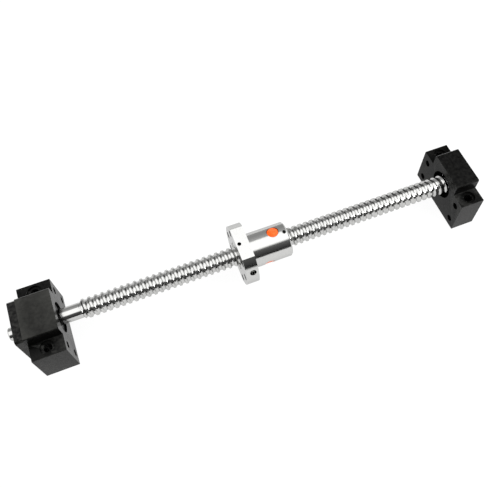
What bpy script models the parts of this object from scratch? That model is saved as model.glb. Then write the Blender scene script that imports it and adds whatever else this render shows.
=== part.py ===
"""Ball screw assembly: a rolled screw with a flanged ball nut, carried by a fixed-side and a floating-side support.

The screw's axis runs along X at AXIS_HEIGHT. Both supports stand on Z = 0, and the origin is the middle of
the assembly's footprint. Blender 4.5, metres, +Z up.
"""

import math

import bmesh
import bpy
from mathutils import Vector

MM = 0.001

# Screw: nominal 16 mm, lead 5 mm, right hand
LEAD = 5.0 * MM
CREST_RADIUS = 7.7 * MM
GROOVE_FLOOR_RADIUS = 6.45 * MM
CREST_WIDTH = 1.7 * MM
GROOVE_FLOOR_WIDTH = 1.5 * MM
THREAD_LENGTH = 305.5 * MM
THREAD_END_CHAMFER = 1.2 * MM
BALL_CENTRE_RADIUS = 8.0 * MM
SCREW_BALL_RADIUS = 1.35 * MM
BALL_STATIONS = (-0.88, -0.35, 0.35, 0.88)  # rings along a ball, in its radii
BALL_SIDES = 6
STEPS_PER_TURN = 12

# Machined ends of the screw
FIXED_JOURNAL_RADIUS = 6.0 * MM
FIXED_JOURNAL_LENGTH = 39.0 * MM
DRIVE_END_RADIUS = 5.0 * MM
DRIVE_END_LENGTH = 15.0 * MM
FLOATING_JOURNAL_RADIUS = 5.0 * MM
FLOATING_JOURNAL_LENGTH = 15.5 * MM
SNAP_GROOVE_RADIUS = 4.75 * MM
SNAP_GROOVE_START = 13.5 * MM
SNAP_GROOVE_WIDTH = 1.3 * MM
SNAP_RING_RADIUS = 6.6 * MM
SNAP_RING_MOUTH = 4.0 * MM  # gap between the open ring's ends
END_CHAMFER = 0.6 * MM

# Supports: both have the same front outline
AXIS_HEIGHT = 25.0 * MM
BASE_WIDTH = 60.0 * MM
SHOULDER_HEIGHT = 32.5 * MM
CROWN_WIDTH = 34.0 * MM
HOUSING_HEIGHT = 43.0 * MM
FIXED_HOUSING_LENGTH = 25.0 * MM
FLOATING_HOUSING_LENGTH = 20.0 * MM
HOLE_SPACING = 46.0 * MM
FRONT_HOLE_RADIUS = 2.75 * MM
FRONT_HOLE_HEIGHTS = (7.0 * MM, 25.0 * MM)
BOLT_HOLE_RADIUS = 3.3 * MM
COUNTERBORE_RADIUS = 5.4 * MM
COUNTERBORE_DEPTH = 1.5 * MM
HOUSING_CHAMFER = 0.6 * MM

# Where the supports sit on the screw
BARE_JOURNAL = 16.3 * MM  # journal that shows between the fixed housing and the thread
THREAD_IN_FLOATING = 3.0 * MM  # how far the thread reaches into the floating housing

# Cover of the fixed support
COVER_SIDE = 34.0 * MM
COVER_THICKNESS = 6.0 * MM
COVER_HOLE_RADIUS = 11.2 * MM
COVER_SPIGOT_RADIUS = 13.7 * MM
COVER_SPIGOT_LENGTH = 4.2 * MM
COVER_CORNER = 1.5 * MM
COVER_SCREW_OFFSET = 13.4 * MM
COVER_THREAD_DEPTH = 8.0 * MM  # of the screw holes in the fixed housing
SCREW_HEAD_RADIUS = 2.65 * MM
SCREW_HEAD_HEIGHT = 2.3 * MM
SCREW_SHANK_RADIUS = 1.35 * MM
SCREW_LENGTH = 11.5 * MM
SOCKET_RADIUS = 1.35 * MM
SOCKET_DEPTH = 1.4 * MM

# Bearings
FIXED_BORE_RADIUS = 14.0 * MM
FIXED_BORE_DEPTH = 21.1 * MM
FIXED_MOUTH_RADIUS = 12.0 * MM
FLOATING_BEARING_START = 7.6 * MM
FIXED_BEARING_STARTS = (4.5 * MM, 12.8 * MM)
FLOATING_BORE_RADIUS = 13.0 * MM
FLOATING_MOUTH_RADIUS = 11.6 * MM
FLOATING_BORE_START = 7.0 * MM
BEARING_WIDTH = 8.0 * MM
BEARING_BALL_RADIUS = 2.1 * MM
RACE_GROOVE_RADIUS = 2.5 * MM
RACE_SHOULDER_OFFSET = 1.6 * MM  # from the ball circle to each ring's shoulder
RING_CLEARANCE = 0.12 * MM
COLLAR_RADIUS = 9.0 * MM
COLLAR_BORE_RADIUS = 6.3 * MM
COLLAR_OVERHANG = 1.0 * MM  # of the outer collar, past the cover
COLLAR_RECESS = 1.5 * MM  # from the fixed housing's inner face to its collar and seal

# Nut
NUT_BODY_RADIUS = 14.0 * MM
NUT_LENGTH = 42.0 * MM
FLANGE_RADIUS = 24.0 * MM
FLANGE_THICKNESS = 10.0 * MM
NUT_CHAMFER = 1.0 * MM
FLANGE_FLATS = 40.0 * MM
FLANGE_BOLT_CIRCLE_RADIUS = 19.0 * MM
FLANGE_BOLT_HOLE_RADIUS = 2.75 * MM
NUT_LAND_RADIUS = 8.15 * MM
NUT_GROOVE_RADIUS = 9.8 * MM
NUT_GROOVE_FLOOR_WIDTH = 1.6 * MM
NUT_START = 163.2 * MM  # flange face, counted from the fixed housing's outer face
NUT_ROLL = 5.0  # degrees that the flat with the wiper screw leans towards -Y
WIPER_RADIUS = 10.5 * MM
WIPER_BORE_RADIUS = 8.05 * MM
WIPER_POCKET_RADIUS = 10.8 * MM
WIPER_WIDTH = 3.6 * MM
GREASE_HOLE_RADIUS = 2.6 * MM
GREASE_CHANNEL_RADIUS = 1.0 * MM
GREASE_HOLE_ANGLE = 65.0
GREASE_HOLE_STATION = 5.6 * MM
WIPER_SCREW_RADIUS = 1.25 * MM
WIPER_SCREW_LENGTH = 1.8 * MM
WIPER_SCREW_INSETS = (2.6 * MM, 2.8 * MM)  # from the flange face and from the nut's other end
RETURN_RADIUS = 4.6 * MM
RETURN_HOLE_RADIUS = 4.9 * MM
RETURN_TOP = 13.3 * MM
RETURN_CHAMFER = 0.4 * MM
RETURN_FLOOR = 10.1 * MM
RETURN_ROLL = -14.0  # degrees from the flat to the first return insert
FIRST_RETURN_FROM_FLANGE = 30.8 * MM
RETURN_STEP = 5 / 3 * LEAD  # back towards the flange for each third of a turn
BALLS_PER_CIRCUIT = 11

# Positions along X, with the whole length centred on the origin
LEFT_OVERHANG = DRIVE_END_LENGTH + FIXED_JOURNAL_LENGTH - BARE_JOURNAL - FIXED_HOUSING_LENGTH
FLOATING_FACE = FIXED_HOUSING_LENGTH + BARE_JOURNAL + THREAD_LENGTH - THREAD_IN_FLOATING
OVERALL_LENGTH = LEFT_OVERHANG + FLOATING_FACE + FLOATING_HOUSING_LENGTH
FIXED_X = LEFT_OVERHANG - OVERALL_LENGTH / 2
THREAD_X = FIXED_X + FIXED_HOUSING_LENGTH + BARE_JOURNAL
THREAD_END_X = THREAD_X + THREAD_LENGTH
FLOATING_X = FIXED_X + FLOATING_FACE
NUT_X = FIXED_X + NUT_START
FIRST_RETURN_X = NUT_X + FIRST_RETURN_FROM_FLANGE
GAP = 0.3 * MM
THROUGH = 2.0 * MM  # how far a cutter runs past the material


# ---- materials ----

def material(name, colour, roughness, metallic):
    made = bpy.data.materials.new(name)
    made.use_nodes = True
    shader = made.node_tree.nodes["Principled BSDF"]
    shader.inputs["Base Color"].default_value = (*colour, 1.0)
    shader.inputs["Roughness"].default_value = roughness
    shader.inputs["Metallic"].default_value = metallic
    return made


def make_materials():
    return {
        "black_oxide": material("black_oxide", (0.02, 0.02, 0.02), 0.45, 0.6),
        "ground_steel": material("ground_steel", (0.72, 0.72, 0.70), 0.22, 1.0),
        "bearing_steel": material("bearing_steel", (0.66, 0.66, 0.67), 0.12, 1.0),
        "black_rubber": material("black_rubber", (0.03, 0.03, 0.03), 0.7, 0.0),
        "orange_plastic": material("orange_plastic", (0.95, 0.25, 0.03), 0.4, 0.0),
        "wiper_plastic": material("wiper_plastic", (0.75, 0.75, 0.72), 0.5, 0.0),
    }


# ---- mesh helpers ----

def on_axis(x, radius, degrees):
    """The point at that radius from the screw's axis, with degrees counted from +Z towards -Y."""
    turn = math.radians(degrees)
    return Vector((x, -radius * math.sin(turn), AXIS_HEIGHT + radius * math.cos(turn)))


def finish(name, bm, finish_material=None):
    bmesh.ops.remove_doubles(bm, verts=bm.verts, dist=1e-7)
    bmesh.ops.recalc_face_normals(bm, faces=bm.faces)
    mesh = bpy.data.meshes.new(name)
    bm.to_mesh(mesh)
    bm.free()
    made = bpy.data.objects.new(name, mesh)
    bpy.context.scene.collection.objects.link(made)
    if finish_material:
        mesh.materials.append(finish_material)
        mesh.shade_smooth()
        mesh.set_sharp_from_angle(angle=math.radians(35))
    return made


def add_lathe(bm, profile, segments, closed, axis_origin=(0.0, 0.0, AXIS_HEIGHT), turn=None):
    """Turns (x, radius) points about X. A closed profile makes a ring, an open one starts and ends on the axis."""
    origin = Vector(axis_origin)
    rings = []
    for x, radius in profile:
        if radius < 1e-9:
            points = [Vector((x, 0.0, 0.0))]
        else:
            angles = [2 * math.pi * k / segments for k in range(segments)]
            points = [Vector((x, radius * math.cos(a), radius * math.sin(a))) for a in angles]
        rings.append([bm.verts.new(origin + (turn @ p if turn else p)) for p in points])
    pairs = list(zip(rings, rings[1:]))
    if closed:
        pairs.append((rings[-1], rings[0]))
    for near, far in pairs:
        for k in range(segments):
            corners = [near[k % len(near)], near[(k + 1) % len(near)], far[(k + 1) % len(far)], far[k % len(far)]]
            unique = list(dict.fromkeys(corners))
            if len(unique) > 2:
                bm.faces.new(unique)


def lathe(name, profile, segments, closed=True, finish_material=None, **place):
    bm = bmesh.new()
    add_lathe(bm, profile, segments, closed, **place)
    return finish(name, bm, finish_material)


def prism(name, outline, x_start, x_end, finish_material=None):
    """Extrudes a (y, z) outline along X."""
    bm = bmesh.new()
    face = bm.faces.new([bm.verts.new((x_start, y, z)) for y, z in outline])
    grown = bmesh.ops.extrude_face_region(bm, geom=[face])
    moved = [v for v in grown["geom"] if isinstance(v, bmesh.types.BMVert)]
    bmesh.ops.translate(bm, verts=moved, vec=(x_end - x_start, 0, 0))
    return finish(name, bm, finish_material)


def cutter(made):
    made.hide_render = True
    made.display_type = "WIRE"
    return made


def rod(name, start, end, radius, segments=12):
    """A hidden round cutter between two points."""
    start, end = Vector(start), Vector(end)
    turn = (end - start).to_track_quat("X", "Z").to_matrix()
    length = (end - start).length
    profile = [(0, 0), (0, radius), (length, radius), (length, 0)]
    return cutter(lathe(name, profile, segments, closed=False, axis_origin=start, turn=turn))


def combine(target, operation, *others):
    """Adds Booleans with the MANIFOLD solver: where many holes cross, EXACT leaves open edges."""
    for other in others:
        step = target.modifiers.new(other.name, "BOOLEAN")
        step.operation = operation
        step.solver = "MANIFOLD"
        step.object = other


def helical_solid(name, profile, x_start, turns, finish_material=None):
    """A right-hand helical solid: profile is one lead of (x, radius) points, and x_start is its first point at +Y."""
    bm = bmesh.new()
    steps = turns * STEPS_PER_TURN
    rows = []
    for k in range(steps + 1):
        angle = 2 * math.pi * k / STEPS_PER_TURN
        shift = x_start + LEAD * k / STEPS_PER_TURN
        rows.append([
            bm.verts.new((shift + x, r * math.cos(angle), AXIS_HEIGHT + r * math.sin(angle))) for x, r in profile
        ])
    # the last point of a row is the first point of the row one turn later
    tail = [
        bm.verts.new((
            x_start + LEAD * (k / STEPS_PER_TURN + 1) + profile[0][0],
            profile[0][1] * math.cos(2 * math.pi * k / STEPS_PER_TURN),
            AXIS_HEIGHT + profile[0][1] * math.sin(2 * math.pi * k / STEPS_PER_TURN),
        ))
        for k in range(steps - STEPS_PER_TURN + 1, steps + 1)
    ]
    def closing(k):
        later = k + STEPS_PER_TURN
        return rows[later][0] if later <= steps else tail[later - steps - 1]
    for k in range(steps):
        near = rows[k] + [closing(k)]
        far = rows[k + 1] + [closing(k + 1)]
        for p in range(len(profile)):
            bm.faces.new([near[p], near[p + 1], far[p + 1], far[p]])
    first_loop = [rows[k][0] for k in range(STEPS_PER_TURN + 1)] + rows[0][:0:-1]
    last_loop = [closing(k) for k in range(steps - STEPS_PER_TURN, steps + 1)] + rows[-1][:0:-1]
    for loop, x in ((first_loop, x_start), (last_loop, x_start + LEAD * (turns + 1))):
        centre = bm.verts.new((x, 0, AXIS_HEIGHT))
        for k in range(len(loop)):
            bm.faces.new([centre, loop[k], loop[(k + 1) % len(loop)]])
    return finish(name, bm, finish_material)


def ball_row(name, centre_at, count, radius, closed, finish_material):
    """A row of balls as one body, joined by necks. centre_at gives the path's point for a ball's number."""
    bm = bmesh.new()
    spacing = (centre_at(1) - centre_at(0)).length
    rings = []
    for ball in range(count):
        for along in BALL_STATIONS:
            number = ball + along * radius / spacing
            centre = centre_at(number)
            tangent = (centre_at(number + 0.01) - centre_at(number - 0.01)).normalized()
            outward = Vector((0, centre.y, centre.z - AXIS_HEIGHT)).normalized()
            across = tangent.cross(outward).normalized()
            reach = radius * math.sqrt(1 - along**2)
            turns = [2 * math.pi * k / BALL_SIDES for k in range(BALL_SIDES)]
            rings.append([
                bm.verts.new(centre + reach * (math.cos(a) * outward + math.sin(a) * across)) for a in turns
            ])
    pairs = list(zip(rings, rings[1:]))
    if closed:
        pairs.append((rings[-1], rings[0]))
    else:
        bm.faces.new(rings[0][::-1])
        bm.faces.new(rings[-1])
    for near, far in pairs:
        for k in range(BALL_SIDES):
            after = (k + 1) % BALL_SIDES
            bm.faces.new([near[k], near[after], far[after], far[k]])
    return finish(name, bm, finish_material)


def land_before(x):
    """Where a land of the thread crosses +Y, next before x. Each return insert sits over a land."""
    land = FIRST_RETURN_X - LEAD * (90 + NUT_ROLL + RETURN_ROLL) / 360
    return land - LEAD * math.ceil((land - x) / LEAD)


# ---- screw ----

def make_screw(finishes):
    """Rolled thread cut to length with chamfered ends, joined to its machined journals."""
    crest, floor = CREST_WIDTH / 2, GROOVE_FLOOR_WIDTH / 2
    profile = [
        (-crest, CREST_RADIUS),
        (crest, CREST_RADIUS),
        (LEAD / 2 - floor, GROOVE_FLOOR_RADIUS),
        (LEAD / 2 + floor, GROOVE_FLOOR_RADIUS),
    ]
    turns = math.ceil(THREAD_LENGTH / LEAD) + 3
    screw = helical_solid("screw_shaft", profile, land_before(THREAD_X - LEAD), turns, finishes["ground_steel"])
    chamfered, full = CREST_RADIUS - THREAD_END_CHAMFER, CREST_RADIUS + THROUGH
    slope = full - chamfered
    trim = lathe("thread_trim", [
        (THREAD_X, 0), (THREAD_X, chamfered), (THREAD_X + slope, full),
        (THREAD_END_X - slope, full), (THREAD_END_X, chamfered), (THREAD_END_X, 0),
    ], 24, closed=False)
    combine(screw, "INTERSECT", cutter(trim))
    fixed_end = THREAD_X - FIXED_JOURNAL_LENGTH
    drive_end = fixed_end - DRIVE_END_LENGTH
    left = lathe("fixed_journal", [
        (drive_end, 0), (drive_end, DRIVE_END_RADIUS - END_CHAMFER), (drive_end + END_CHAMFER, DRIVE_END_RADIUS),
        (fixed_end, DRIVE_END_RADIUS), (fixed_end, FIXED_JOURNAL_RADIUS - END_CHAMFER),
        (fixed_end + END_CHAMFER, FIXED_JOURNAL_RADIUS), (THREAD_X + LEAD, FIXED_JOURNAL_RADIUS),
        (THREAD_X + LEAD, 0),
    ], 24, closed=False)
    groove = THREAD_END_X + SNAP_GROOVE_START
    tip = THREAD_END_X + FLOATING_JOURNAL_LENGTH
    right = lathe("floating_journal", [
        (THREAD_END_X - LEAD, 0), (THREAD_END_X - LEAD, FLOATING_JOURNAL_RADIUS),
        (groove, FLOATING_JOURNAL_RADIUS), (groove, SNAP_GROOVE_RADIUS),
        (groove + SNAP_GROOVE_WIDTH, SNAP_GROOVE_RADIUS), (groove + SNAP_GROOVE_WIDTH, FLOATING_JOURNAL_RADIUS),
        (tip - END_CHAMFER / 2, FLOATING_JOURNAL_RADIUS), (tip, FLOATING_JOURNAL_RADIUS - END_CHAMFER / 2), (tip, 0),
    ], 24, closed=False)
    combine(screw, "UNION", cutter(left), cutter(right))


def make_snap_ring(finishes):
    """The open ring that keeps the floating bearing on its journal."""
    start = THREAD_END_X + SNAP_GROOVE_START + GAP / 2
    width = SNAP_GROOVE_WIDTH - GAP
    outer, inner = SNAP_RING_RADIUS, SNAP_GROOVE_RADIUS + RING_CLEARANCE
    profile = [(start, inner), (start + width, inner), (start + width, outer), (start, outer)]
    ring = lathe("shaft_snap_ring", profile, 24, finish_material=finishes["black_oxide"])
    middle = start + width / 2
    combine(ring, "DIFFERENCE", rod("snap_ring_gap", on_axis(middle, inner - THROUGH, 180),
                                    on_axis(middle, outer + THROUGH, 180), SNAP_RING_MOUTH / 2))


# ---- supports ----

def housing_outline():
    """Half outline of a support from the base up, then its mirror image."""
    edge = HOUSING_CHAMFER
    base, crown = BASE_WIDTH / 2, CROWN_WIDTH / 2
    half = [
        (base - edge, 0), (base, edge), (base, SHOULDER_HEIGHT - edge), (base - edge, SHOULDER_HEIGHT),
        (crown, SHOULDER_HEIGHT), (crown, HOUSING_HEIGHT - edge), (crown - edge, HOUSING_HEIGHT),
    ]
    return half + [(-y, z) for y, z in reversed(half)]


def drill_housing(housing, name, x, length):
    """Front holes through the length, and counterbored bolt holes down through both shoulders."""
    for side in (-1, 1):
        y = side * HOLE_SPACING / 2
        for height in FRONT_HOLE_HEIGHTS:
            combine(housing, "DIFFERENCE", rod(
                f"{name}_front_hole", (x - THROUGH, y, height), (x + length + THROUGH, y, height), FRONT_HOLE_RADIUS))
        middle = x + length / 2
        top = SHOULDER_HEIGHT + THROUGH
        combine(housing, "DIFFERENCE", rod(f"{name}_bolt_hole", (middle, y, -THROUGH), (middle, y, top),
                                           BOLT_HOLE_RADIUS, 16))
        combine(housing, "DIFFERENCE", rod(
            f"{name}_counterbore", (middle, y, SHOULDER_HEIGHT - COUNTERBORE_DEPTH), (middle, y, top),
            COUNTERBORE_RADIUS, 16))


def make_fixed_housing(finishes):
    end = FIXED_X + FIXED_HOUSING_LENGTH
    housing = prism("fixed_support_housing", housing_outline(), FIXED_X, end, finishes["black_oxide"])
    floor = FIXED_X + FIXED_BORE_DEPTH
    bore = lathe("fixed_bore", [
        (FIXED_X - THROUGH, 0), (FIXED_X - THROUGH, FIXED_BORE_RADIUS), (floor, FIXED_BORE_RADIUS),
        (floor, FIXED_MOUTH_RADIUS), (end + THROUGH, FIXED_MOUTH_RADIUS), (end + THROUGH, 0),
    ], 24, closed=False)
    combine(housing, "DIFFERENCE", cutter(bore))
    drill_housing(housing, "fixed", FIXED_X, FIXED_HOUSING_LENGTH)
    for y, z in cover_screw_places():
        combine(housing, "DIFFERENCE", rod("cover_thread", (FIXED_X - THROUGH, y, z),
                                           (FIXED_X + COVER_THREAD_DEPTH, y, z), SCREW_SHANK_RADIUS + GAP, 8))


def make_floating_housing(finishes):
    """The bearing goes in from the outer side, up to a shoulder beside the screw."""
    end = FLOATING_X + FLOATING_HOUSING_LENGTH
    housing = prism("floating_support_housing", housing_outline(), FLOATING_X, end, finishes["black_oxide"])
    floor = FLOATING_X + FLOATING_BORE_START
    bore = lathe("floating_bore", [
        (FLOATING_X - THROUGH, 0), (FLOATING_X - THROUGH, FLOATING_MOUTH_RADIUS), (floor, FLOATING_MOUTH_RADIUS),
        (floor, FLOATING_BORE_RADIUS), (end + THROUGH, FLOATING_BORE_RADIUS), (end + THROUGH, 0),
    ], 24, closed=False)
    combine(housing, "DIFFERENCE", cutter(bore))
    drill_housing(housing, "floating", FLOATING_X, FLOATING_HOUSING_LENGTH)


def cover_screw_places():
    offset = COVER_SCREW_OFFSET
    return [(a * offset, AXIS_HEIGHT + b * offset) for a in (-1, 1) for b in (-1, 1)]


def make_cover(finishes):
    """Square plate with a spigot that holds the bearing pair, and four counterbored screw holes."""
    half, corner = COVER_SIDE / 2, COVER_CORNER
    outline = []
    for a, b in ((1, -1), (1, 1), (-1, 1), (-1, -1)):
        ends = [(a * half, b * (half - corner)), (a * (half - corner), b * half)]
        outline += ends if a * b > 0 else ends[::-1]
    outline = [(y, z + AXIS_HEIGHT) for y, z in outline]
    back = FIXED_X - GAP / 3
    cover = prism("fixed_support_cover", outline, FIXED_X - COVER_THICKNESS, back, finishes["black_oxide"])
    spigot = lathe("cover_spigot", [
        (FIXED_X - COVER_THICKNESS / 2, COVER_HOLE_RADIUS - THROUGH),
        (FIXED_X - COVER_THICKNESS / 2, COVER_SPIGOT_RADIUS),
        (FIXED_X + COVER_SPIGOT_LENGTH, COVER_SPIGOT_RADIUS),
        (FIXED_X + COVER_SPIGOT_LENGTH, COVER_HOLE_RADIUS - THROUGH),
    ], 24)
    combine(cover, "UNION", cutter(spigot))
    combine(cover, "DIFFERENCE", rod(
        "cover_hole", (FIXED_X - COVER_THICKNESS - THROUGH, 0, AXIS_HEIGHT),
        (FIXED_X + COVER_SPIGOT_LENGTH + THROUGH, 0, AXIS_HEIGHT), COVER_HOLE_RADIUS, 24))
    outside = FIXED_X - COVER_THICKNESS - THROUGH
    head_floor = FIXED_X - COVER_THICKNESS + SCREW_HEAD_HEIGHT + 2 * GAP / 3
    for y, z in cover_screw_places():
        combine(cover, "DIFFERENCE", rod("head_pocket", (outside, y, z), (head_floor, y, z),
                                         SCREW_HEAD_RADIUS + GAP, 12))
        combine(cover, "DIFFERENCE", rod("shank_hole", (outside, y, z), (FIXED_X + THROUGH, y, z),
                                         SCREW_SHANK_RADIUS + GAP, 8))


def make_cover_screws(finishes):
    """Four socket-head screws, sunk in the cover."""
    start = FIXED_X - COVER_THICKNESS + GAP / 3
    seat = start + SCREW_HEAD_HEIGHT
    profile = [
        (start + SOCKET_DEPTH, 0), (start + SOCKET_DEPTH, SOCKET_RADIUS), (start, SOCKET_RADIUS),
        (start, SCREW_HEAD_RADIUS), (seat, SCREW_HEAD_RADIUS), (seat, SCREW_SHANK_RADIUS),
        (start + SCREW_LENGTH, SCREW_SHANK_RADIUS), (start + SCREW_LENGTH, 0),
    ]
    for number, (y, z) in enumerate(cover_screw_places(), start=1):
        lathe(f"cover_screw_{number}", profile, 8, closed=False, finish_material=finishes["black_oxide"],
              axis_origin=(0, y, z))


# ---- bearings ----

def race_profile(x, wall_radius, ball_circle, outward):
    """Section of a bearing ring. outward is 1 for the outer ring and -1 for the inner one."""
    shoulder = ball_circle + outward * RACE_SHOULDER_OFFSET
    middle = x + BEARING_WIDTH / 2
    half = math.sqrt(RACE_GROOVE_RADIUS**2 - RACE_SHOULDER_OFFSET**2)
    groove = []
    for share in (-1.0, -0.4, 0.4, 1.0):
        across = half * share
        groove.append((middle + across, ball_circle + outward * math.sqrt(RACE_GROOVE_RADIUS**2 - across**2)))
    return [
        (x, wall_radius), (x, shoulder), *groove,
        (x + BEARING_WIDTH, shoulder), (x + BEARING_WIDTH, wall_radius),
    ]


def make_bearing(name, x, bore_radius, outside_radius, balls, finishes):
    """A deep-groove bearing as two rings and a row of balls."""
    ball_circle = (bore_radius + outside_radius) / 2
    steel = finishes["bearing_steel"]
    lathe(f"{name}_inner_ring", race_profile(x, bore_radius + RING_CLEARANCE, ball_circle, -1), 24,
          finish_material=steel)
    lathe(f"{name}_outer_ring", race_profile(x, outside_radius - RING_CLEARANCE, ball_circle, 1), 24,
          finish_material=steel)
    middle = x + BEARING_WIDTH / 2
    ball_row(f"{name}_balls_and_cage", lambda number: on_axis(middle, ball_circle, 360 * number / balls), balls,
             BEARING_BALL_RADIUS, True, steel)


def ring(name, x_start, x_end, inner, outer, finish_material, segments=24):
    profile = [(x_start, inner), (x_end, inner), (x_end, outer), (x_start, outer)]
    return lathe(name, profile, segments, finish_material=finish_material)


def make_fixed_bearings(finishes):
    for name, start in zip(("fixed_bearing_a", "fixed_bearing_b"), FIXED_BEARING_STARTS):
        make_bearing(name, FIXED_X + start, FIXED_JOURNAL_RADIUS, FIXED_BORE_RADIUS, 8, finishes)
    end = FIXED_X + FIXED_HOUSING_LENGTH
    first = FIXED_X + FIXED_BEARING_STARTS[0]
    last = FIXED_X + FIXED_BEARING_STARTS[1] + BEARING_WIDTH
    steel, rubber = finishes["bearing_steel"], finishes["black_rubber"]
    ring("outer_collar", FIXED_X - COVER_THICKNESS - COLLAR_OVERHANG, first - GAP, COLLAR_BORE_RADIUS,
         COLLAR_RADIUS, steel)
    ring("inner_collar", last + GAP, end - COLLAR_RECESS, COLLAR_BORE_RADIUS, COLLAR_RADIUS,
         finishes["black_oxide"])
    seal_inside = COLLAR_RADIUS + GAP
    ring("cover_dust_seal", FIXED_X - COVER_THICKNESS + GAP, FIXED_X - GAP, seal_inside,
         COVER_HOLE_RADIUS - GAP, rubber)
    ring("housing_dust_seal", FIXED_X + FIXED_BORE_DEPTH + GAP, end - COLLAR_RECESS - GAP, seal_inside,
         FIXED_MOUTH_RADIUS - GAP, rubber)


def make_floating_bearing(finishes):
    """The bearing stands next to the shoulder in its housing, with a pressed shield on each side."""
    x = FLOATING_X + FLOATING_BEARING_START
    make_bearing("floating_bearing", x, FLOATING_JOURNAL_RADIUS, FLOATING_BORE_RADIUS, 7, finishes)
    ball_circle = (FLOATING_JOURNAL_RADIUS + FLOATING_BORE_RADIUS) / 2
    inner = ball_circle - RACE_SHOULDER_OFFSET + GAP
    outer = ball_circle + RACE_SHOULDER_OFFSET - GAP
    for side, start in (("left", x + GAP), ("right", x + BEARING_WIDTH - 2 * GAP)):
        ring(f"floating_bearing_{side}_shield", start, start + GAP, inner, outer, finishes["bearing_steel"])


# ---- nut ----

def nut_angle(degrees):
    """Degrees from the flange's flat, as degrees from +Z towards -Y."""
    return NUT_ROLL + degrees


def flange_outline():
    """Circle with two parallel flats, in (y, z)."""
    reach = math.degrees(math.acos(FLANGE_FLATS / 2 / FLANGE_RADIUS))
    steps = 12
    outline = []
    for middle in (90, 270):
        for k in range(steps + 1):
            at = middle - (90 - reach) + 2 * (90 - reach) * k / steps
            point = on_axis(0, FLANGE_RADIUS, nut_angle(at))
            outline.append((point.y, point.z))
    return outline


def make_nut(finishes):
    """Flanged nut with a helical ball track, six bolt holes, a grease port, wiper pockets and return holes."""
    end = NUT_X + NUT_LENGTH
    edge = NUT_CHAMFER
    nut = lathe("nut_body", [
        (NUT_X + FLANGE_THICKNESS / 2, 0), (NUT_X + FLANGE_THICKNESS / 2, NUT_BODY_RADIUS),
        (end - edge, NUT_BODY_RADIUS), (end, NUT_BODY_RADIUS - edge), (end, 0),
    ], 36, closed=False, finish_material=finishes["ground_steel"])
    flange = cutter(prism("flange", flange_outline(), NUT_X, NUT_X + FLANGE_THICKNESS))
    combine(nut, "UNION", flange)
    land, floor = CREST_WIDTH / 2, NUT_GROOVE_FLOOR_WIDTH / 2
    track = helical_solid("ball_track", [
        (-land, NUT_LAND_RADIUS), (land, NUT_LAND_RADIUS),
        (LEAD / 2 - floor, NUT_GROOVE_RADIUS), (LEAD / 2 + floor, NUT_GROOVE_RADIUS),
    ], land_before(NUT_X - LEAD), math.ceil(NUT_LENGTH / LEAD) + 3)
    combine(nut, "DIFFERENCE", cutter(track))
    pocket = WIPER_WIDTH + GAP
    for name, x in (("left_wiper_pocket", NUT_X), ("right_wiper_pocket", end)):
        sign = 1 if x == NUT_X else -1
        combine(nut, "DIFFERENCE", rod(name, (x - sign * THROUGH, 0, AXIS_HEIGHT), (x + sign * pocket, 0, AXIS_HEIGHT),
                                       WIPER_POCKET_RADIUS, 24))
    middle = NUT_X + FLANGE_THICKNESS / 2
    for angle in (45, 90, 135, 225, 270, 315):
        spot = on_axis(middle, FLANGE_BOLT_CIRCLE_RADIUS, nut_angle(angle))
        reach = Vector((FLANGE_THICKNESS, 0, 0))
        combine(nut, "DIFFERENCE", rod("flange_hole", spot - reach, spot + reach, FLANGE_BOLT_HOLE_RADIUS))
    angle, x = nut_angle(GREASE_HOLE_ANGLE), NUT_X + GREASE_HOLE_STATION
    combine(nut, "DIFFERENCE", rod("grease_thread", on_axis(x, NUT_BODY_RADIUS, angle),
                                   on_axis(x, FLANGE_RADIUS + THROUGH, angle), GREASE_HOLE_RADIUS))
    combine(nut, "DIFFERENCE", rod("grease_channel", on_axis(x, NUT_LAND_RADIUS, angle),
                                   on_axis(x, NUT_BODY_RADIUS + THROUGH, angle), GREASE_CHANNEL_RADIUS, 8))
    for x in wiper_screw_stations():
        combine(nut, "DIFFERENCE", rod("wiper_screw_hole", on_axis(x, WIPER_RADIUS, NUT_ROLL),
                                       on_axis(x, FLANGE_RADIUS, NUT_ROLL), WIPER_SCREW_RADIUS + GAP, 10))
    for x, angle in return_places():
        combine(nut, "DIFFERENCE", rod("return_hole", on_axis(x, NUT_LAND_RADIUS, angle),
                                       on_axis(x, NUT_BODY_RADIUS + GAP, angle), RETURN_HOLE_RADIUS, 16))


def wiper_screw_stations():
    return (NUT_X + WIPER_SCREW_INSETS[0], NUT_X + NUT_LENGTH - WIPER_SCREW_INSETS[1])


def return_places():
    """One return insert for each ball circuit, a third of a turn apart."""
    for k in range(3):
        yield FIRST_RETURN_X - k * RETURN_STEP, nut_angle(RETURN_ROLL + 120 * k)


def make_returns(finishes):
    for k, (x, angle) in enumerate(return_places(), start=1):
        low, high = on_axis(x, RETURN_FLOOR, angle), on_axis(x, RETURN_TOP, angle)
        length, edge = (high - low).length, RETURN_CHAMFER
        turn = (high - low).to_track_quat("X", "Z").to_matrix()
        lathe(f"return_insert_{k}", [
            (0, 0), (0, RETURN_RADIUS), (length - edge, RETURN_RADIUS), (length, RETURN_RADIUS - edge), (length, 0),
        ], 16, closed=False, finish_material=finishes["orange_plastic"], axis_origin=low, turn=turn)


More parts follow.
